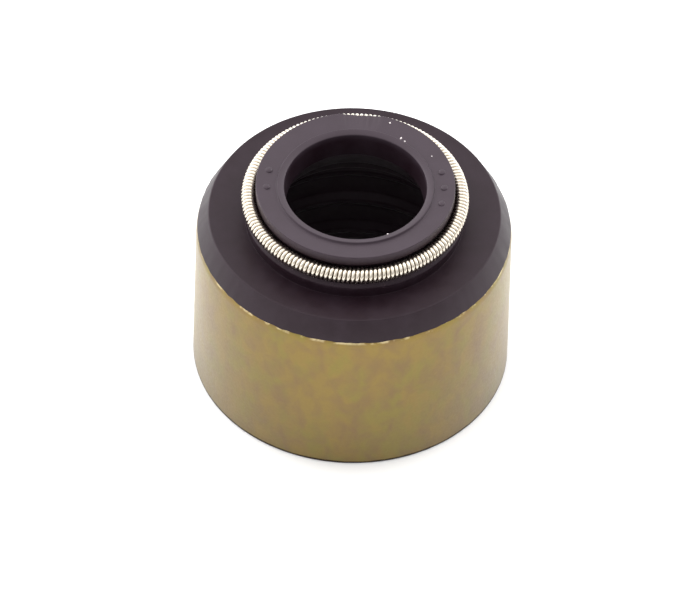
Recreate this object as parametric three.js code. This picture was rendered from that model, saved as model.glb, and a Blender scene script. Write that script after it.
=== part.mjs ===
// Valve stem seal for a 7 mm stem: a drawn steel case, a rubber body moulded over its flange, and a garter spring.
// Millimetres, +Z up. The origin is the centre of the case's bottom edge, and the lip is at the top.
import * as THREE from "three";
import { ParametricGeometry } from "three/addons/geometries/ParametricGeometry.js";

// Steel case: a deep-drawn tube whose top is turned inwards as a flange
const CASE_RADIUS = 7.15;
const CASE_HEIGHT = 8.5;
const CASE_WALL = 0.6;
const CASE_INNER_BEND = 0.3;
const CASE_EDGE_CHAMFER = 0.08;

// Rubber shoulder over the flange: it starts at a seam part of the way up the bend and ends at the neck
const SEAM_DEGREES = 23.6;
const SEAM_STEP = 0.03;
const SHOULDER_INSET = 0.5;
const SHOULDER_RISE = 0.43;
const SHOULDER_ROUND = 0.08;
const NECK_FOOT_RISE = 0.22;

// Lip that rides on the stem, and what lies outwards of it
const LIP_RADIUS = 3.12;
const RIM_WIDENING = 0.11;
const RING_WIDTH = 0.3;
const RING_FOOT_WIDTH = 0.06;
const HEAD_WALL = 1.39;
const HEAD_ROUND = 0.08;
const FLARE_WIDENING = 0.48;
const THROAT_WIDENING = 1.08;
const THROAT_WALL = 0.55;

// Heights of the lip head: its dished face at the ring's foot above the flange, and the rest from there
const HEAD_RISE = 2.18;
const HEAD_DISH = 0.13;
const RING_RISE = 0.11;
const RIM_RISE = 0.02;
const LIP_DROP = 1.13;
const FLARE_LENGTH = 1.05;
const THROAT_STEP = 0.28;

// Garter spring, close wound from round wire and joined end to end
const COIL_RADIUS = 0.4;
const WIRE_DIAMETER = 0.165;
const TURN_GAP = 0.0135;

// Groove that holds the spring, and the ledge under it
const GROOVE_DEPTH = 0.18;
const GROOVE_DROP = 0.71;
const SPRING_CLEARANCE = 0.03;
const LEDGE_OVERHANG = 0.51;
const LEDGE_DROP = 0.6;
const LEDGE_THICKNESS = 0.13;
const LEDGE_UNDERCUT = 0.07;

// Bore that grips the valve guide: a stop face under the flange, ribs, and a lead-in at the bottom
const STOP_THICKNESS = 0.45;
const STOP_CHAMFER = 0.12;
const LINING_THICKNESS = 1.05;
const BORE_CORNER_CHAMFER = 0.35;
const RIB_DEPTH = 0.3;
const RIB_COUNT = 3;
const RIB_FOOT_WIDTH = 0.9;
const RIB_CREST_WIDTH = 0.25;
const LOWEST_RIB_HEIGHT = 2.3;
const HIGHEST_RIB_DROP = 1.35;
const LEAD_IN_HEIGHT = 1.45;
const LEAD_IN_EDGE = 0.35;
const LINING_END_HEIGHT = 0.65;

// Facets: round every turned piece, round each small arc, and along and round the spring's wire
const FACETS_AROUND = 44;
const DEGREES_PER_FACET = 30;
const STEPS_PER_TURN = 7;
const WIRE_SIDES = 4;

// Points of an arc in the section, [radius, height], with both its ends.
function arc([centreRadius, centreHeight], radius, fromDegrees, toDegrees) {
  const steps = Math.max(1, Math.ceil(Math.abs(toDegrees - fromDegrees) / DEGREES_PER_FACET));
  const points = [];
  for (let step = 0; step <= steps; step++) {
    const degrees = fromDegrees + ((toDegrees - fromDegrees) * step) / steps;
    const angle = THREE.MathUtils.degToRad(degrees);
    points.push([centreRadius + radius * Math.cos(angle), centreHeight + radius * Math.sin(angle)]);
  }
  return points;
}

// A solid turned about Z from a closed section whose points run anticlockwise.
function turned(section) {
  const outline = [...section, section[0]].map(([radius, height]) => new THREE.Vector2(radius, height));
  return new THREE.LatheGeometry(outline, FACETS_AROUND).rotateX(Math.PI / 2);
}

const caseBore = CASE_RADIUS - CASE_WALL;
const outerBend = CASE_INNER_BEND + CASE_WALL;
const bendCentre = [CASE_RADIUS - outerBend, CASE_HEIGHT - outerBend];
const throatRadius = LIP_RADIUS + THROAT_WIDENING;
const flangeHole = throatRadius + THROAT_WALL;
const flangeUnderside = CASE_HEIGHT - CASE_WALL;

// The steel that rubber is bonded to, from the seam over the flange and down the inside of the wall.
function bondedSteel() {
  return [
    ...arc(bendCentre, outerBend, SEAM_DEGREES, 90),
    [flangeHole, CASE_HEIGHT],
    [flangeHole, flangeUnderside],
    ...arc(bendCentre, CASE_INNER_BEND, 90, 0),
    [caseBore, LINING_END_HEIGHT],
  ];
}

function steelCase() {
  const bareBend = arc(bendCentre, outerBend, 0, SEAM_DEGREES).slice(0, -1);
  return turned([
    [caseBore, 0],
    [CASE_RADIUS - CASE_EDGE_CHAMFER, 0],
    [CASE_RADIUS, CASE_EDGE_CHAMFER],
    ...bareBend,
    ...bondedSteel(),
  ]);
}

// The lip head stands on the neck. The spring lies in its groove with a clearance to the root.
const headRadius = LIP_RADIUS + HEAD_WALL;
const headHeight = CASE_HEIGHT + HEAD_RISE;
const ledgeRadius = headRadius + LEDGE_OVERHANG;
const grooveRadius = COIL_RADIUS + SPRING_CLEARANCE;
const springCentre = [headRadius - GROOVE_DEPTH + grooveRadius, headHeight - GROOVE_DROP];

// The shoulder's outer slope, its rounded edge, and the dished top that runs in to the neck.
function shoulder() {
  const [seam] = arc(bendCentre, outerBend, SEAM_DEGREES, 90);
  const edge = [CASE_RADIUS - SHOULDER_INSET - SHOULDER_ROUND, CASE_HEIGHT + SHOULDER_RISE - SHOULDER_ROUND];
  return [
    [seam[0] + SEAM_STEP, seam[1]],
    ...arc(edge, SHOULDER_ROUND, 25, 100),
    [ledgeRadius - LEDGE_UNDERCUT, CASE_HEIGHT + NECK_FOOT_RISE],
  ];
}

// The ledge under the spring, the round groove and the head's side up to the rim of its dished face.
function grooveAndHead() {
  const ledgeHeight = springCentre[1] - LEDGE_DROP;
  const headDegrees = THREE.MathUtils.radToDeg(Math.acos((headRadius - springCentre[0]) / grooveRadius));
  return [
    [ledgeRadius, ledgeHeight - LEDGE_THICKNESS],
    [ledgeRadius, ledgeHeight],
    ...arc(springCentre, grooveRadius, 280, headDegrees),
    ...arc([headRadius - HEAD_ROUND, headHeight + HEAD_DISH - HEAD_ROUND], HEAD_ROUND, 0, 90),
  ];
}

// The raised ring round the hole, the lip's oil side, its edge, the flare on its air side and the throat.
function lip() {
  const rimRadius = LIP_RADIUS + RIM_WIDENING;
  const ringRadius = rimRadius + RING_WIDTH;
  const lipHeight = headHeight - LIP_DROP;
  const flareHeight = lipHeight - FLARE_LENGTH;
  return [
    [ringRadius + RING_FOOT_WIDTH, headHeight],
    [ringRadius, headHeight + RING_RISE],
    [rimRadius, headHeight + RIM_RISE],
    [LIP_RADIUS, lipHeight],
    [LIP_RADIUS + FLARE_WIDENING, flareHeight],
    [throatRadius, flareHeight - THROAT_STEP],
  ];
}

// One rib round the guide bore, from its top foot to its bottom foot.
function rib(boreRadius, height) {
  const foot = RIB_FOOT_WIDTH / 2;
  const crest = RIB_CREST_WIDTH / 2;
  return [
    [boreRadius, height + foot],
    [boreRadius - RIB_DEPTH, height + crest],
    [boreRadius - RIB_DEPTH, height - crest],
    [boreRadius, height - foot],
  ];
}

// The face that stops the guide, the ribbed bore and its lead-in.
function guideBore() {
  const stopHeight = flangeUnderside - STOP_THICKNESS;
  const boreRadius = caseBore - LINING_THICKNESS;
  const highestRib = stopHeight - HIGHEST_RIB_DROP;
  const ribPitch = (highestRib - LOWEST_RIB_HEIGHT) / (RIB_COUNT - 1);
  const ribs = [];
  for (let index = 0; index < RIB_COUNT; index++) {
    ribs.push(...rib(boreRadius, highestRib - index * ribPitch));
  }
  return [
    [throatRadius, stopHeight + STOP_CHAMFER],
    [throatRadius + STOP_CHAMFER, stopHeight],
    [boreRadius - BORE_CORNER_CHAMFER, stopHeight],
    [boreRadius, stopHeight - BORE_CORNER_CHAMFER],
    ...ribs,
    [boreRadius, LEAD_IN_HEIGHT],
    [caseBore - LEAD_IN_EDGE, LINING_END_HEIGHT],
  ];
}

function rubberBody() {
  return turned([...shoulder(), ...grooveAndHead(), ...lip(), ...guideBore(), ...bondedSteel().reverse()]);
}

// The wire is a helix whose axis is bent into a ring. Its turns are closest at the ring's inner side.
function garterSpring() {
  const wireRadius = WIRE_DIAMETER / 2;
  const helixRadius = COIL_RADIUS - wireRadius;
  const [ringRadius, ringHeight] = springCentre;
  const innerLength = 2 * Math.PI * (ringRadius - helixRadius);
  const turns = Math.floor(innerLength / (WIRE_DIAMETER + TURN_GAP));
  const up = new THREE.Vector3(0, 0, 1);

  function wireSurface(alongWire, aroundWire, target) {
    const ringAngle = 2 * Math.PI * alongWire;
    const coilAngle = turns * ringAngle;
    const sideAngle = 2 * Math.PI * aroundWire;
    const outward = new THREE.Vector3(Math.cos(ringAngle), Math.sin(ringAngle), 0);
    const onward = new THREE.Vector3().crossVectors(up, outward);
    const fromCoilAxis = outward.clone().multiplyScalar(Math.cos(coilAngle)).addScaledVector(up, Math.sin(coilAngle));
    const alongCoil = outward.clone().multiplyScalar(-Math.sin(coilAngle)).addScaledVector(up, Math.cos(coilAngle));
    const wireDirection = alongCoil
      .multiplyScalar(turns * helixRadius)
      .addScaledVector(onward, ringRadius + helixRadius * Math.cos(coilAngle));
    const sideways = new THREE.Vector3().crossVectors(fromCoilAxis, wireDirection).normalize();
    target
      .copy(outward)
      .multiplyScalar(ringRadius)
      .addScaledVector(up, ringHeight)
      .addScaledVector(fromCoilAxis, helixRadius + wireRadius * Math.cos(sideAngle))
      .addScaledVector(sideways, wireRadius * Math.sin(sideAngle));
  }

  return new ParametricGeometry(wireSurface, turns * STEPS_PER_TURN, WIRE_SIDES);
}

const chromatedSteel = new THREE.MeshStandardMaterial({ color: 0xa08a5c, roughness: 0.42, metalness: 0.9 });
const fluoroRubber = new THREE.MeshStandardMaterial({ color: 0x2c2226, roughness: 0.5, metalness: 0 });
const springSteel = new THREE.MeshStandardMaterial({ color: 0xd9d3c8, roughness: 0.25, metalness: 1 });

function piece(name, geometry, material) {
  const mesh = new THREE.Mesh(geometry, material);
  mesh.name = name;
  return mesh;
}

const seal = new THREE.Group();
seal.add(piece("steel_case", steelCase(), chromatedSteel));
seal.add(piece("rubber_body", rubberBody(), fluoroRubber));
seal.add(piece("garter_spring", garterSpring(), springSteel));

export default seal;
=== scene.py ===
import math

import bmesh
import bpy
from mathutils import Matrix, Vector, noise


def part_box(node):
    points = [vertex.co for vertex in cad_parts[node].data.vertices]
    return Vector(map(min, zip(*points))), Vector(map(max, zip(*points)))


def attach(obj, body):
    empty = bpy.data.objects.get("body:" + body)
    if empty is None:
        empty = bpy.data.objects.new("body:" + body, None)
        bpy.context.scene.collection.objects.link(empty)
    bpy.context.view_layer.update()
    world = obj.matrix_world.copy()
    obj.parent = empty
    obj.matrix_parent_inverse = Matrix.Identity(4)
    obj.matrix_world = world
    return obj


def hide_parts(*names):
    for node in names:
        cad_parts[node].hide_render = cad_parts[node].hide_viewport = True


bl_info = {
    "name": "Valve Stem Seal",
    "version": (1, 0, 0),
    "blender": (4, 5, 0),
    "location": "3D View > Sidebar > Seal",
    "description": "Models and finishes a valve stem seal: steel case, moulded rubber and garter spring",
    "category": "Object",
}

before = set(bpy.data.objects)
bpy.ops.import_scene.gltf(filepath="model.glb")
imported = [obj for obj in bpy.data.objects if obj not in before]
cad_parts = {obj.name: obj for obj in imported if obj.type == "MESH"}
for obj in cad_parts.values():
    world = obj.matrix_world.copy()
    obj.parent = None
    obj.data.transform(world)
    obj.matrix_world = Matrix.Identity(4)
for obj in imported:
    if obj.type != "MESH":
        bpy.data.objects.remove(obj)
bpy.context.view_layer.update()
CASE_LOW, CASE_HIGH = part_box("steel_case")
RUBBER_LOW, RUBBER_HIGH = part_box("rubber_body")
SPRING_LOW, SPRING_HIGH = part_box("garter_spring")
MM = 0.001

FACETS_AROUND = 360
ARC_STEP = math.radians(8)
ROUND_SEGMENTS = 3
MERGE_DISTANCE = 0.0005 * MM
SHARP_ANGLE = math.radians(38)

# Degrees in the section at which the shoulder's edge starts and ends, and at which the groove starts.
SHOULDER_ARC = (25, 100)
GROOVE_START = 280
# Degrees round the head at which its plain pips stand.
PIP_PLACES = (168, 183, 15, 1, -13)
# Each crumb's radius on the seal in mm, degrees round it, half length and half width in mm.
CRUMBS = (
    (4.25, 69.7, 0.05, 0.05),
    (3.72, 57.5, 0.09, 0.045),
    (3.66, 53.6, 0.05, 0.05),
    (3.19, -61.3, 0.06, 0.05),
    (3.97, 30.8, 0.04, 0.04),
)


def length(name, description, millimetres):
    return bpy.props.FloatProperty(
        name=name, description=description, default=millimetres * MM,
        precision=5, unit="LENGTH", subtype="DISTANCE"
    )


def angle(name, description, degrees):
    return bpy.props.FloatProperty(
        name=name, description=description, default=math.radians(degrees), unit="ROTATION", subtype="ANGLE"
    )


def number(name, description, value):
    return bpy.props.FloatProperty(name=name, description=description, default=value)


def count(name, description, value):
    return bpy.props.IntProperty(name=name, description=description, default=value)


def linear(hex_colour):
    """The linear red, green and blue of an sRGB hex colour."""
    channels = [int(hex_colour[start:start + 2], 16) / 255 for start in (1, 3, 5)]
    return [c / 12.92 if c <= 0.04045 else ((c + 0.055) / 1.055) ** 2.4 for c in channels]


def colour(name, description, hex_colour):
    return bpy.props.FloatVectorProperty(
        name=name, description=description, default=linear(hex_colour), size=3, min=0, max=1, subtype="COLOR"
    )


class SealSizes(bpy.types.PropertyGroup):
    """Sizes of the seal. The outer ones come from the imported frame."""

    case_radius: length("Case radius", "Outside of the drawn case", CASE_HIGH.x / MM)
    case_height: length("Case height", "Top of the case's inward flange", CASE_HIGH.z / MM)
    case_wall: length("Case wall", "Thickness of the drawn sheet", 0.6)
    case_inner_bend: length("Inner bend", "Radius inside the bend between wall and flange", 0.3)
    case_edge_round: length("Edge round", "Wear on the trimmed bottom edge", 0.09)
    seam_angle: angle("Seam angle", "How far up the bend the rubber starts", 23.6)
    seam_step: length("Seam step", "How far the rubber stands proud of the steel at the seam", 0.03)
    seam_raggedness: length("Seam raggedness", "How far the trimmed rubber edge wanders up and down", 0.07)
    shoulder_inset: length("Shoulder inset", "From the case's outside to the shoulder's top edge", 0.5)
    shoulder_rise: length("Shoulder rise", "From the flange to the shoulder's top edge", 0.43)
    shoulder_round: length("Shoulder round", "Radius of the shoulder's top edge", 0.08)
    neck_foot_rise: length("Neck foot rise", "From the flange to the bottom of the dished shoulder", 0.22)
    neck_fillet: length("Neck fillet", "Radius between shoulder and neck", 0.02)
    lip_radius: length("Lip radius", "Free radius of the lip's edge", 3.12)
    rim_widening: length("Rim widening", "From the lip's edge out to the rim", 0.11)
    ring_width: length("Ring width", "Width of the raised ring round the hole", 0.3)
    ring_foot: length("Ring foot", "Slope on the outside of the raised ring", 0.06)
    ring_rise: length("Ring rise", "Height of the raised ring over the head's face", 0.11)
    rim_rise: length("Rim rise", "Height of the rim over the head's face", 0.02)
    head_wall: length("Head wall", "From the lip's edge out to the head's side", 1.39)
    head_round: length("Head round", "Radius of the head's top edge", 0.03)
    head_dish: length("Head dish", "How far the head's edge stands over its face at the ring", 0.13)
    lip_drop: length("Lip drop", "From the head's face down to the lip's edge", 1.13)
    flare_length: length("Flare length", "Height of the cone under the lip", 1.05)
    flare_widening: length("Flare widening", "From the lip's edge out to the cone's end", 0.48)
    throat_step: length("Throat step", "Height of the step behind the cone", 0.28)
    throat_widening: length("Throat widening", "From the lip's edge out to the throat", 1.08)
    throat_wall: length("Throat wall", "Rubber between the throat and the flange's hole", 0.55)
    coil_radius: length("Coil radius", "Outside radius of the spring's turns", 0.37)
    wire_diameter: length("Wire diameter", "Diameter of the spring's wire", 0.165)
    groove_depth: length("Groove depth", "From the head's side in to the groove's root", 0.19)
    groove_drop: length("Groove drop", "From the head's face down to the spring's centre", 0.73)
    ledge_overhang: length("Ledge overhang", "From the head's side out to the ledge's edge", 0.51)
    ledge_drop: length("Ledge drop", "From the spring's centre down to the ledge", 0.6)
    ledge_thickness: length("Ledge thickness", "Height of the ledge's edge", 0.13)
    ledge_undercut: length("Ledge undercut", "From the ledge's edge in to the neck", 0.07)
    stop_thickness: length("Stop thickness", "Rubber between the flange and the stop face", 0.45)
    lining_thickness: length("Lining thickness", "Rubber between the case and the guide bore", 1.05)
    rib_depth: length("Rib depth", "How far the bore's ribs stand in", 0.3)
    rib_foot: length("Rib foot", "Height of a rib at its foot", 0.9)
    rib_crest: length("Rib crest", "Height of a rib at its crest", 0.25)
    lowest_rib: length("Lowest rib", "Height of the lowest rib", 2.3)
    highest_rib_drop: length("Highest rib drop", "From the stop face down to the highest rib", 1.35)
    lead_in_height: length("Lead-in height", "Where the bore starts to widen", 1.45)
    lead_in_edge: length("Lead-in edge", "Rubber left at the case's wall at the lining's end", 0.35)


class SealFinish(bpy.types.PropertyGroup):
    """Colours of the finishes."""

    chromate_tan: colour("Chromate tan", "Main colour of the chromated steel", "#7f6930")
    chromate_olive: colour("Chromate olive", "Greener patches of the chromate", "#7a6b2e")
    chromate_brown: colour("Chromate brown", "Browner patches of the chromate", "#755d38")
    # Rubbed zinc, also used as a painted highlight along the steel under the seam.
    bare_zinc_and_highlight: colour("Bare zinc", "Rubbed edges and nicks", "#d8c79c")
    # Painted shade along the case's bottom, where it meets the floor.
    bottom_painted_shade: colour("Sheared edge", "Dark unplated steel of the trimmed edge", "#2c1e12")
    rubber_dark: colour("Rubber dark", "Main colour of the rubber", "#1c0f16")
    # Dust film, also painted up the head as a painted highlight.
    rubber_bloom_and_light: colour("Rubber bloom", "Dusty film on the rubber", "#322830")
    rubber_shine: colour("Rubber shine", "Tint of the rubber's highlights", "#fff3fa")
    spring_wire: colour("Spring wire", "Bright drawn wire", "#d9d0c2")
    crumb: colour("Crumb", "Torn flash and lint on the rubber", "#cfc6c6")
    floor: colour("Floor", "Pale table", "#f8f8f8")


def arc(centre, radius, start_degrees, end_degrees, rounding=0.0):
    """Corners along an arc of the section, both its ends included."""
    start, end = math.radians(start_degrees), math.radians(end_degrees)
    steps = max(2, math.ceil(abs(end - start) / ARC_STEP))
    angles = [start + (end - start) * step / steps for step in range(steps + 1)]
    return [(centre[0] + radius * math.cos(a), centre[1] + radius * math.sin(a), rounding) for a in angles]


def turned(corners):
    """A closed solid turned about Z from (radius, height, rounding) corners, rounded by vertex bevels."""
    bm = bmesh.new()
    verts = [bm.verts.new((radius, 0, height)) for radius, height, _ in corners]
    for here, following in zip(verts, verts[1:] + verts[:1]):
        bm.edges.new((here, following))
    for (_, _, rounding), vert in zip(corners, verts):
        if rounding:
            bmesh.ops.bevel(
                bm, geom=[vert], affect="VERTICES", offset=rounding, offset_type="OFFSET",
                segments=ROUND_SEGMENTS, profile=0.5, material=-1
            )
    bmesh.ops.spin(
        bm, geom=bm.verts[:] + bm.edges[:], cent=(0, 0, 0), axis=(0, 0, 1), dvec=(0, 0, 0), angle=math.tau,
        steps=FACETS_AROUND, use_merge=True, use_normal_flip=False, use_duplicate=False
    )
    bmesh.ops.remove_doubles(bm, verts=bm.verts, dist=MERGE_DISTANCE)
    bmesh.ops.recalc_face_normals(bm, faces=bm.faces)
    return bm


def wander(around, waves, seed):
    """A smooth value between -1 and 1 that comes back to itself once round the seal."""
    spot = Vector((math.cos(around) * waves, math.sin(around) * waves, seed))
    return noise.noise(spot)


def finish_piece(bm, name, material, node=None):
    """Make the piece from its mesh, give it its finish and put it on the frame."""
    mesh = bpy.data.meshes.new(name)
    bm.to_mesh(mesh)
    bm.free()
    mesh.shade_smooth()
    mesh.set_sharp_from_angle(angle=SHARP_ANGLE)
    mesh.materials.append(material)
    piece = bpy.data.objects.new(name, mesh)
    bpy.context.scene.collection.objects.link(piece)
    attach(piece, "root")
    if node:
        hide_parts(node)


def bend_centre(sizes):
    """Centre of the bend between wall and flange in the section, and its outer radius."""
    outer_bend = sizes.case_inner_bend + sizes.case_wall
    return (sizes.case_radius - outer_bend, sizes.case_height - outer_bend), outer_bend


def seam_place(sizes):
    """Radius and height on the case's bend where the rubber starts."""
    centre, outer_bend = bend_centre(sizes)
    radius = centre[0] + outer_bend * math.cos(sizes.seam_angle)
    return radius, centre[1] + outer_bend * math.sin(sizes.seam_angle)


def head_height(sizes):
    """Height of the head's face at the ring's foot, under the highest rubber."""
    return RUBBER_HIGH.z - max(sizes.ring_rise, sizes.head_dish)


def face_height(sizes, radius):
    """Height of the head's dished face at a radius outside the ring."""
    foot = sizes.lip_radius + sizes.rim_widening + sizes.ring_width + sizes.ring_foot
    edge = sizes.lip_radius + sizes.head_wall - sizes.head_round
    return head_height(sizes) + sizes.head_dish * (radius - foot) / (edge - foot)


def spring_centre(sizes):
    """Radius and height of the coil's centre. Its outer edge stays, so a thinner coil lies further out."""
    return SPRING_HIGH.x - sizes.coil_radius, head_height(sizes) - sizes.groove_drop


def bonded_steel(sizes):
    """The steel under the rubber, from the seam over the flange and down the inside of the wall."""
    centre, outer_bend = bend_centre(sizes)
    flange_hole = sizes.lip_radius + sizes.throat_widening + sizes.throat_wall
    underside = sizes.case_height - sizes.case_wall
    return [
        *arc(centre, outer_bend, math.degrees(sizes.seam_angle), 90),
        (flange_hole, sizes.case_height, 0),
        (flange_hole, underside, 0),
        *arc(centre, sizes.case_inner_bend, 90, 0),
        (sizes.case_radius - sizes.case_wall, RUBBER_LOW.z, 0),
    ]


def case_section(sizes):
    centre, outer_bend = bend_centre(sizes)
    edge = sizes.case_edge_round
    return [
        (sizes.case_radius - sizes.case_wall, 0, edge),
        (sizes.case_radius, 0, edge),
        *arc(centre, outer_bend, 0, math.degrees(sizes.seam_angle))[:-1],
        *bonded_steel(sizes),
    ]


def shoulder_section(sizes):
    """The outer slope, its rounded edge and the dished top that runs in to the neck."""
    seam_radius, seam_height = seam_place(sizes)
    edge = sizes.shoulder_round
    edge_radius = sizes.case_radius - sizes.shoulder_inset - edge
    edge_centre = (edge_radius, sizes.case_height + sizes.shoulder_rise - edge)
    neck_radius = sizes.lip_radius + sizes.head_wall + sizes.ledge_overhang - sizes.ledge_undercut
    soft = 0.3 * sizes.seam_step
    return [
        (seam_radius + sizes.seam_step, seam_height, soft),
        *arc(edge_centre, edge, *SHOULDER_ARC),
        (neck_radius, sizes.case_height + sizes.neck_foot_rise, sizes.neck_fillet),
    ]


def head_section(sizes):
    """The ledge under the spring, the round groove and the head's side up to its face."""
    head_radius = sizes.lip_radius + sizes.head_wall
    ledge_radius = head_radius + sizes.ledge_overhang
    centre = spring_centre(sizes)
    groove_radius = centre[0] - (head_radius - sizes.groove_depth)
    ledge = centre[1] - sizes.ledge_drop
    soft = 0.2 * sizes.ledge_thickness
    top = math.degrees(math.acos((head_radius - centre[0]) / groove_radius))
    edge = sizes.head_round
    return [
        (ledge_radius, ledge - sizes.ledge_thickness, soft),
        (ledge_radius, ledge, soft),
        *arc(centre, groove_radius, GROOVE_START, top),
        *arc((head_radius - edge, head_height(sizes) + sizes.head_dish - edge), edge, 0, 90),
    ]


def lip_section(sizes):
    """The raised ring, the lip's oil side, its edge, the cone on its air side and the throat."""
    rim_radius = sizes.lip_radius + sizes.rim_widening
    ring_radius = rim_radius + sizes.ring_width
    throat = sizes.lip_radius + sizes.throat_widening
    head = head_height(sizes)
    lip = head - sizes.lip_drop
    soft = 0.25 * sizes.ring_rise
    return [
        (ring_radius + sizes.ring_foot, head, soft),
        (ring_radius, head + sizes.ring_rise, soft),
        (rim_radius, head + sizes.rim_rise, 1.5 * soft),
        (sizes.lip_radius, lip, soft),
        (sizes.lip_radius + sizes.flare_widening, lip - sizes.flare_length, soft),
        (throat, lip - sizes.flare_length - sizes.throat_step, soft),
    ]


def bore_section(sizes):
    """The face that stops the guide, the ribbed bore and its lead-in."""
    throat = sizes.lip_radius + sizes.throat_widening
    stop = sizes.case_height - sizes.case_wall - sizes.stop_thickness
    case_bore = sizes.case_radius - sizes.case_wall
    bore = case_bore - sizes.lining_thickness
    chamfer = sizes.lead_in_edge
    highest = stop - sizes.highest_rib_drop
    soft = 0.25 * sizes.rib_crest
    corners = [
        (throat, stop, 2 * soft),
        (bore - chamfer, stop, soft),
        (bore, stop - chamfer, soft),
    ]
    for height in (highest, (highest + sizes.lowest_rib) / 2, sizes.lowest_rib):
        corners += [
            (bore, height + sizes.rib_foot / 2, soft),
            (bore - sizes.rib_depth, height + sizes.rib_crest / 2, soft),
            (bore - sizes.rib_depth, height - sizes.rib_crest / 2, soft),
            (bore, height - sizes.rib_foot / 2, soft),
        ]
    corners += [(bore, sizes.lead_in_height, soft), (case_bore - sizes.lead_in_edge, RUBBER_LOW.z, soft)]
    return corners


def rag_seam(bm, sizes):
    """The trimmed foot of the rubber wanders up and down, with small torn steps."""
    seam_radius, seam_height = seam_place(sizes)
    for vert in bm.verts:
        radius = math.hypot(vert.co.x, vert.co.y)
        if radius > seam_radius - sizes.seam_step and vert.co.z < seam_height + sizes.seam_step:
            around = math.atan2(vert.co.y, vert.co.x)
            waves = wander(around, 7, 3.1)
            steps = wander(around, 22, 7.7)
            vert.co.z += sizes.seam_raggedness * (0.4 * waves + 0.9 * steps)


class SEAL_OT_steel_case(bpy.types.Operator):
    """Turn the drawn steel case, with a worn trimmed edge"""

    bl_idname = "seal.steel_case"
    bl_label = "Steel Case"

    def execute(self, context):
        sizes = context.scene.seal_sizes
        bm = turned(case_section(sizes))
        finish_piece(bm, "case_shell", chromated_steel(sizes), "steel_case")
        return {"FINISHED"}


class SEAL_OT_rubber_body(bpy.types.Operator):
    """Turn the moulded rubber body, with its ragged seam and the nick in the head's edge"""

    bl_idname = "seal.rubber_body"
    bl_label = "Rubber Body"

    nick_place: angle("Nick place", "Where round the seal the head's edge is nicked", 88)
    nick_half_width: angle("Nick half width", "How far the nick reaches to each side", 13)
    nick_depth: length("Nick depth", "How far the edge is torn down", 0.17)

    def execute(self, context):
        sizes = context.scene.seal_sizes
        corners = [
            *shoulder_section(sizes),
            *head_section(sizes),
            *lip_section(sizes),
            *bore_section(sizes),
            *reversed(bonded_steel(sizes)),
        ]
        bm = turned(corners)
        rag_seam(bm, sizes)
        self.nick_head(bm, sizes)
        finish_piece(bm, "rubber_moulding", moulded_fluoro_rubber(sizes), "rubber_body")
        return {"FINISHED"}

    def nick_head(self, bm, sizes):
        edge = sizes.lip_radius + sizes.head_wall - 1.5 * sizes.head_round
        low = head_height(sizes) - sizes.head_round
        for vert in bm.verts:
            radius = math.hypot(vert.co.x, vert.co.y)
            off = math.atan2(vert.co.y, vert.co.x) - self.nick_place
            if radius > edge and vert.co.z > low and abs(off) < self.nick_half_width:
                fade = math.cos(off / self.nick_half_width * math.pi / 2)
                tear = 0.8 + 0.6 * wander(off, 60, 1.3)
                vert.co.z -= self.nick_depth * fade * tear


class SEAL_OT_garter_spring(bpy.types.Operator):
    """Wind the garter spring's straight coil and close it into a ring"""

    bl_idname = "seal.garter_spring"
    bl_label = "Garter Spring"

    wound_turns: count("Wound turns", "Turns wound in one go", 12)
    windings: count("Windings", "Such lengths joined end to end", 13)
    steps_per_turn: count("Steps per turn", "Facets along a turn", 24)
    wire_sides: count("Wire sides", "Facets round the wire", 12)

    def execute(self, context):
        sizes = context.scene.seal_sizes
        ring_radius, ring_height = spring_centre(sizes)
        pitch = math.tau * ring_radius / (self.wound_turns * self.windings)
        bm = self.wind(sizes, pitch)
        for vert in bm.verts:
            # The straight coil's place along X becomes an angle, and the wire keeps its thickness.
            turn_angle = math.atan2(vert.co.z, vert.co.y)
            turn = round(vert.co.x / pitch - turn_angle / math.tau)
            along = pitch * (turn + turn_angle / math.tau)
            ring_angle = along / ring_radius
            outward = Vector((math.cos(ring_angle), math.sin(ring_angle), 0))
            onward = Vector((-math.sin(ring_angle), math.cos(ring_angle), 0))
            place = outward * (ring_radius + vert.co.y) + onward * (vert.co.x - along)
            vert.co = place + Vector((0, 0, ring_height + vert.co.z))
        bmesh.ops.remove_doubles(bm, verts=bm.verts, dist=MERGE_DISTANCE)
        bmesh.ops.recalc_face_normals(bm, faces=bm.faces)
        finish_piece(bm, "spring_coil", bright_spring_wire(), "garter_spring")
        return {"FINISHED"}

    def wind(self, sizes, pitch):
        """A straight coil along X, wound from one end and then repeated to its whole length."""
        wire_radius = sizes.wire_diameter / 2
        helix_radius = sizes.coil_radius - wire_radius
        lead = math.atan(pitch / (math.tau * helix_radius))
        section = Matrix.Translation((0, helix_radius, 0)) @ Matrix.Rotation(lead, 4, "Y")
        steps = self.wound_turns * self.steps_per_turn
        bm = bmesh.new()
        bmesh.ops.create_circle(
            bm, cap_ends=False, segments=self.wire_sides, radius=wire_radius, matrix=section
        )
        bmesh.ops.spin(
            bm, geom=bm.verts[:] + bm.edges[:], cent=(0, 0, 0), axis=(1, 0, 0),
            dvec=(pitch / self.steps_per_turn, 0, 0), angle=math.tau * self.wound_turns,
            steps=steps, use_merge=False, use_normal_flip=False, use_duplicate=False
        )
        winding = bm.verts[:] + bm.edges[:] + bm.faces[:]
        for index in range(1, self.windings):
            copy = bmesh.ops.duplicate(bm, geom=winding)
            moved = [part for part in copy["geom"] if isinstance(part, bmesh.types.BMVert)]
            bmesh.ops.translate(bm, verts=moved, vec=(index * self.wound_turns * pitch, 0, 0))
        return bm


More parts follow.
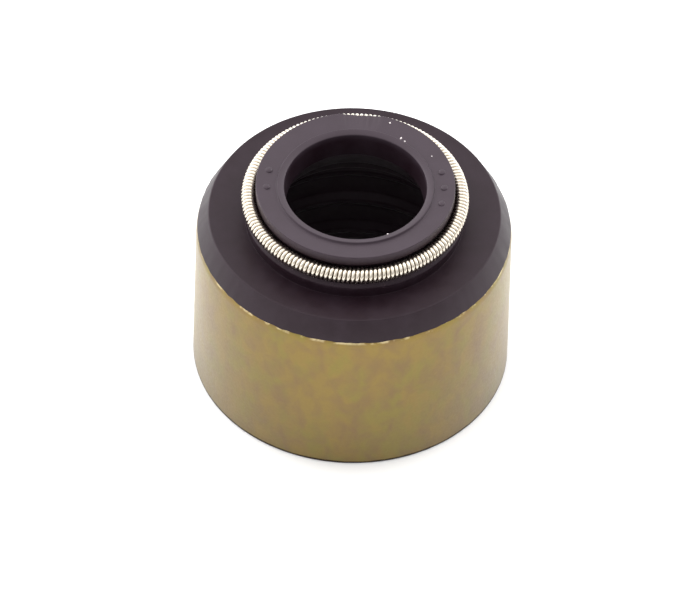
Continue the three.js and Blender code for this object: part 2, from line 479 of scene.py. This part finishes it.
class SEAL_OT_mould_pips(bpy.types.Operator):
    """Raise the plain pips that the mould leaves on the head's face"""

    bl_idname = "seal.mould_pips"
    bl_label = "Mould Pips"

    pip_radius: length("Pip radius", "Radius of a pip", 0.17)
    pip_height: length("Pip height", "Height of a pip over the face", 0.06)
    pip_offset: length("Pip offset", "From the raised ring out to a pip's centre", 0.5)

    def execute(self, context):
        sizes = context.scene.seal_sizes
        middle = sizes.lip_radius + sizes.rim_widening + sizes.ring_width + self.pip_offset
        bm = bmesh.new()
        for degrees in PIP_PLACES:
            turn = Matrix.Rotation(math.radians(degrees), 4, "Z")
            place = turn @ Matrix.Translation((middle, 0, face_height(sizes, middle)))
            size = Matrix.Diagonal((self.pip_radius, self.pip_radius, self.pip_height, 1))
            bmesh.ops.create_uvsphere(bm, u_segments=24, v_segments=12, radius=1, matrix=place @ size)
        bmesh.ops.recalc_face_normals(bm, faces=bm.faces)
        finish_piece(bm, "mould_pips", moulded_fluoro_rubber(sizes))
        return {"FINISHED"}


class SEAL_OT_flash_crumbs(bpy.types.Operator):
    """Put torn flash and lint on the head and its rim"""

    bl_idname = "seal.flash_crumbs"
    bl_label = "Flash Crumbs"

    crumb_sink: length("Crumb sink", "How far a crumb's centre lies under the face", 0.01)
    tatter_depth: length("Tatter depth", "How far a crumb's skin is torn in and out", 0.012)
    tatter_size: length("Tatter size", "How far apart the tears are", 0.04)

    def execute(self, context):
        sizes = context.scene.seal_sizes
        bm = bmesh.new()
        for radius, degrees, half_length, half_width in CRUMBS:
            height = face_height(sizes, radius * MM) - self.crumb_sink
            turn = Matrix.Rotation(math.radians(degrees), 4, "Z")
            place = turn @ Matrix.Translation((radius * MM, 0, height))
            size = Matrix.Diagonal((half_length * MM, half_width * MM, 0.5 * half_width * MM, 1))
            bmesh.ops.create_icosphere(bm, subdivisions=2, radius=1, matrix=place @ size)
        for vert in bm.verts:
            vert.co += self.tatter_depth * noise.noise_vector(vert.co / self.tatter_size)
        bmesh.ops.recalc_face_normals(bm, faces=bm.faces)
        finish_piece(bm, "flash_crumbs", torn_flash())
        return {"FINISHED"}


def add(tree, kind, inputs, **settings):
    """A node with its settings, and its inputs as values or links."""
    node = tree.nodes.new(kind)
    for name, value in settings.items():
        setattr(node, name, value)
    for name, value in inputs.items():
        if isinstance(value, bpy.types.NodeSocket):
            tree.links.new(value, node.inputs[name])
        else:
            node.inputs[name].default_value = value
    return node


def new_material(name):
    """An empty material, its node tree and the object coordinates in millimetres."""
    material = bpy.data.materials.new(name)
    material.use_nodes = True
    tree = material.node_tree
    tree.nodes.clear()
    coordinates = add(tree, "ShaderNodeTexCoord", {}).outputs["Object"]
    in_mm = add(tree, "ShaderNodeMapping", {"Vector": coordinates, "Scale": (1 / MM, 1 / MM, 1 / MM)})
    return material, tree, in_mm.outputs["Vector"]


def mixed(tree, factor, first, second):
    """The colour between two colours, each a socket or linear red, green and blue."""
    pair = [value if isinstance(value, bpy.types.NodeSocket) else (*value, 1) for value in (first, second)]
    return add(tree, "ShaderNodeMix", {0: factor, 6: pair[0], 7: pair[1]}, data_type="RGBA").outputs[2]


def ramp(tree, value, start, end, low=0.0, high=1.0):
    """A value carried from one range to another and kept inside it."""
    ranges = {"Value": value, "From Min": start, "From Max": end, "To Min": low, "To Max": high}
    return add(tree, "ShaderNodeMapRange", ranges).outputs["Result"]


def combined(tree, operation, first, second):
    """Two values added or multiplied."""
    return add(tree, "ShaderNodeMath", {0: first, 1: second}, operation=operation).outputs["Value"]


def clouded(tree, vector, scale, detail, roughness=0.5, distortion=0.0):
    """Noise whose scale is about how many of its lumps lie in a millimetre."""
    shape = {"Scale": scale, "Detail": detail, "Roughness": roughness, "Distortion": distortion}
    return add(tree, "ShaderNodeTexNoise", {"Vector": vector, **shape}).outputs["Fac"]


def bumped(tree, height, strength, millimetres, under=None):
    """The normal of a bump, laid over an earlier one where there is one."""
    inputs = {"Height": height, "Strength": strength, "Distance": millimetres * MM}
    if under is not None:
        inputs["Normal"] = under
    return add(tree, "ShaderNodeBump", inputs).outputs["Normal"]


def surface(tree, inputs):
    """The shader that the material ends in."""
    shader = add(tree, "ShaderNodeBsdfPrincipled", inputs)
    add(tree, "ShaderNodeOutputMaterial", {"Surface": shader.outputs["BSDF"]})


def chromated_steel(sizes):
    """Deep-drawn steel, zinc plated and yellow chromated: satin, with olive, tan and brown clouds."""
    finish = bpy.context.scene.seal_finish
    material, tree, in_mm = new_material("chromated_steel")
    # The passivation film is uneven in clouds about 1.5 mm across, a little stretched along the draw.
    stretched = add(tree, "ShaderNodeMapping", {"Vector": in_mm, "Scale": (1, 1, 0.7)}).outputs["Vector"]
    olive = ramp(tree, clouded(tree, stretched, 0.8, 3, 0.6), 0.44, 0.58)
    tint = mixed(tree, olive, finish.chromate_tan, finish.chromate_olive)
    brown = ramp(tree, clouded(tree, stretched, 1.3, 2, distortion=0.4), 0.4, 0.75)
    browned = mixed(tree, brown, tint, finish.chromate_brown)
    # A band 0.1 mm high under the seam is rubbed bare in places, where the flash was trimmed off; its pale
    # colour also stands in as a painted highlight along the steel's edge under the rubber.
    height = add(tree, "ShaderNodeSeparateXYZ", {"Vector": in_mm}).outputs["Z"]
    seam_height = seam_place(sizes)[1] / MM
    near_seam = ramp(tree, height, seam_height - 0.14, seam_height - 0.04)
    chips = clouded(tree, in_mm, 2.2, 3)
    rubbed = ramp(tree, chips, 0.48, 0.62, 0, 0.7)
    plated = mixed(tree, combined(tree, "MULTIPLY", near_seam, rubbed), browned, finish.bare_zinc_and_highlight)
    # A dark band up to a ragged line about 0.15 mm high is painted along the bottom as the shade where the
    # case meets the floor.
    level = combined(tree, "ADD", height, ramp(tree, chips, 0.3, 0.7, -0.02, 0.02))
    shaded_at_bottom = mixed(tree, ramp(tree, level, 0.12, 0.18), finish.bottom_painted_shade, plated)
    # Shallow dents, then fine draw marks up the wall, then grit of about 0.12 mm.
    drawn = add(tree, "ShaderNodeMapping", {"Vector": in_mm, "Scale": (5, 5, 0.35)}).outputs["Vector"]
    grit = clouded(tree, in_mm, 8, 4, 0.65)
    dented = bumped(tree, clouded(tree, in_mm, 0.5, 2), 0.12, 0.1)
    marked = bumped(tree, clouded(tree, drawn, 1, 3, 0.6), 0.2, 0.01, dented)
    # The chromate is a clear film, which whitens towards the outline.
    surface(
        tree,
        {
            "Base Color": shaded_at_bottom,
            "Metallic": 1,
            "Roughness": ramp(tree, grit, 0.3, 0.7, 0.36, 0.5),
            "Normal": bumped(tree, grit, 0.25, 0.01, marked),
            "Coat Weight": ramp(tree, level, 0.12, 0.18, 0, 0.5),
            "Coat Roughness": 0.3,
        }
    )
    return material


def moulded_fluoro_rubber(sizes):
    """Compression-moulded fluoro rubber: nearly black, brown-violet, with a satin skin and a faint film of
    dust.
    """
    finish = bpy.context.scene.seal_finish
    material, tree, in_mm = new_material("moulded_fluoro_rubber")
    bloom = clouded(tree, in_mm, 0.9, 4, 0.6)
    # Up the head the dust film is joined by a painted lightening, a painted highlight for the light the
    # head's face catches; its shine is raised there too.
    height = add(tree, "ShaderNodeSeparateXYZ", {"Vector": in_mm}).outputs["Z"]
    head = head_height(sizes) / MM
    on_head = ramp(tree, height, head - 0.3, head)
    film = ramp(tree, bloom, 0.4, 0.7, 0, 0.3)
    dust_and_light = combined(tree, "ADD", film, ramp(tree, on_head, 0, 1, 0, 0.7))
    # The head's face and the shoulder's slope are smoother than the shoulder's dished top.
    flat = add(tree, "ShaderNodeMapping", {"Vector": in_mm, "Scale": (1, 1, 0)}).outputs["Vector"]
    radius = add(tree, "ShaderNodeVectorMath", {0: flat}, operation="LENGTH").outputs["Value"]
    edge = (sizes.case_radius - sizes.shoulder_inset) / MM
    on_slope = ramp(tree, radius, edge - 0.1, edge, 0, 0.1)
    # Grain of the spark-eroded mould, about 0.06 mm.
    grain = clouded(tree, in_mm, 16, 2)
    surface(
        tree,
        {
            # The head's top is painted lighter here as a painted highlight, over the random dust film.
            "Base Color": mixed(tree, dust_and_light, finish.rubber_dark, finish.rubber_bloom_and_light),
            "Roughness": ramp(tree, bloom, 0.3, 0.7, 0.42, 0.54),
            "IOR": 1.42,
            "Specular Tint": (*finish.rubber_shine, 1),
            "Specular IOR Level": combined(tree, "ADD", ramp(tree, on_head, 0, 1, 0.32, 0.48), on_slope),
            "Normal": bumped(tree, grain, 0.2, 0.006),
        }
    )
    return material


def bright_spring_wire():
    """Hard-drawn carbon steel wire, tinned bright: nearly white, with the fine gloss of a drawing die."""
    finish = bpy.context.scene.seal_finish
    material, tree, in_mm = new_material("bright_spring_wire")
    roughness = ramp(tree, clouded(tree, in_mm, 5, 3), 0.3, 0.7, 0.16, 0.3)
    surface(tree, {"Base Color": (*finish.spring_wire, 1), "Metallic": 1, "Roughness": roughness})
    return material


def torn_flash():
    """Torn rubber flash and lint: pale, dull and rough."""
    finish = bpy.context.scene.seal_finish
    material, tree, in_mm = new_material("torn_flash")
    fuzzy = bumped(tree, clouded(tree, in_mm, 20, 2), 0.5, 0.01)
    surface(tree, {"Base Color": (*finish.crumb, 1), "Roughness": 0.7, "Normal": fuzzy})
    return material


def pale_table():
    """A matt pale laminate table."""
    material, tree, _ = new_material("pale_table")
    surface(tree, {"Base Color": (*bpy.context.scene.seal_finish.floor, 1), "Roughness": 0.8})
    return material


class SEAL_OT_stage(bpy.types.Operator):
    """Set the pale floor, the soft studio light and the camera"""

    bl_idname = "seal.stage"
    bl_label = "Stage"

    camera_elevation: angle("Camera elevation", "How far the camera looks down", 46.94)
    camera_lean: angle("Camera lean", "How far the seal's axis leans right in the picture", 1.85)
    camera_distance: length("Camera distance", "From the seal to the camera", 909)
    camera_lens: number("Lens", "Focal length in millimetres", 1028.6)
    aim_height: length("Aim height", "Where on the axis the camera looks", 2.81)
    aim_side: length("Aim side", "How far beside the axis the camera looks", -0.074)
    floor_size: length("Floor size", "Side of the pale table", 4000)
    dim_side: number("Dim side", "Light from the room's dimmest side", 0.6)
    bright_side: number("Bright side", "Light from its brightest side", 2.2)
    window_light: number("Window light", "More light from a window on each side behind", 3)

    def execute(self, context):
        self.set_floor()
        self.set_light(context)
        self.set_camera(context)
        return {"FINISHED"}

    def set_floor(self):
        bm = bmesh.new()
        bmesh.ops.create_grid(bm, x_segments=8, y_segments=8, size=self.floor_size / 2)
        mesh = bpy.data.meshes.new("table_top")
        bm.to_mesh(mesh)
        bm.free()
        mesh.materials.append(pale_table())
        floor = bpy.data.objects.new("table_top", mesh)
        bpy.context.scene.collection.objects.link(floor)

    def set_light(self, context):
        """A white room, brightest behind and above the seal on its left, dimmest on the camera's side."""
        world = bpy.data.worlds.new("white_room")
        context.scene.world = world
        world.use_nodes = True
        tree = world.node_tree
        tree.nodes.clear()
        towards = add(tree, "ShaderNodeTexCoord", {}).outputs["Generated"]
        brightest = Vector((-0.35, 0.55, 0.75)).normalized()
        facing = add(tree, "ShaderNodeVectorMath", {0: towards, 1: brightest}, operation="DOT_PRODUCT")
        room = ramp(tree, facing.outputs["Value"], -0.4, 1, self.dim_side, self.bright_side)
        # Two windows stand behind the seal, on its left and on its right.
        place = add(tree, "ShaderNodeSeparateXYZ", {"Vector": towards})
        aside = add(tree, "ShaderNodeMath", {0: place.outputs["X"]}, operation="ABSOLUTE").outputs["Value"]
        across = ramp(tree, aside, 0.35, 0.7, 0, self.window_light)
        behind = ramp(tree, place.outputs["Y"], 0, 0.4)
        strength = combined(tree, "ADD", room, combined(tree, "MULTIPLY", across, behind))
        background = add(tree, "ShaderNodeBackground", {"Color": (1, 1, 1, 1), "Strength": strength})
        add(tree, "ShaderNodeOutputWorld", {"Surface": background.outputs["Background"]})
        context.scene.view_settings.view_transform = "Standard"

    def set_camera(self, context):
        data = bpy.data.cameras.new("camera")
        data.lens = self.camera_lens
        data.sensor_width = 36
        camera = bpy.data.objects.new("camera", data)
        tilt = Matrix.Rotation(math.pi / 2 - self.camera_elevation, 4, "X")
        lean = Matrix.Rotation(self.camera_lean, 4, "Z")
        aim = Matrix.Translation((self.aim_side, 0, self.aim_height))
        back = Matrix.Translation((0, 0, self.camera_distance))
        camera.matrix_world = aim @ tilt @ lean @ back
        context.scene.collection.objects.link(camera)
        context.scene.camera = camera


class SEAL_PT_workshop(bpy.types.Panel):
    """Lists the seal's pieces and its stage"""

    bl_label = "Valve Stem Seal"
    bl_space_type = "VIEW_3D"
    bl_region_type = "UI"
    bl_category = "Seal"

    def draw(self, context):
        for step in STEPS:
            self.layout.operator(step.bl_idname)


STEPS = (
    SEAL_OT_steel_case,
    SEAL_OT_rubber_body,
    SEAL_OT_garter_spring,
    SEAL_OT_mould_pips,
    SEAL_OT_flash_crumbs,
    SEAL_OT_stage,
)
CLASSES = (SealSizes, SealFinish, *STEPS, SEAL_PT_workshop)


def register():
    for cls in CLASSES:
        bpy.utils.register_class(cls)
    bpy.types.Scene.seal_sizes = bpy.props.PointerProperty(type=SealSizes)
    bpy.types.Scene.seal_finish = bpy.props.PointerProperty(type=SealFinish)


def unregister():
    del bpy.types.Scene.seal_finish
    del bpy.types.Scene.seal_sizes
    for cls in reversed(CLASSES):
        bpy.utils.unregister_class(cls)


def main():
    register()
    bpy.ops.seal.steel_case()
    bpy.ops.seal.rubber_body()
    bpy.ops.seal.garter_spring()
    bpy.ops.seal.mould_pips()
    bpy.ops.seal.flash_crumbs()
    bpy.ops.seal.stage()


if __name__ == "__main__":
    main()
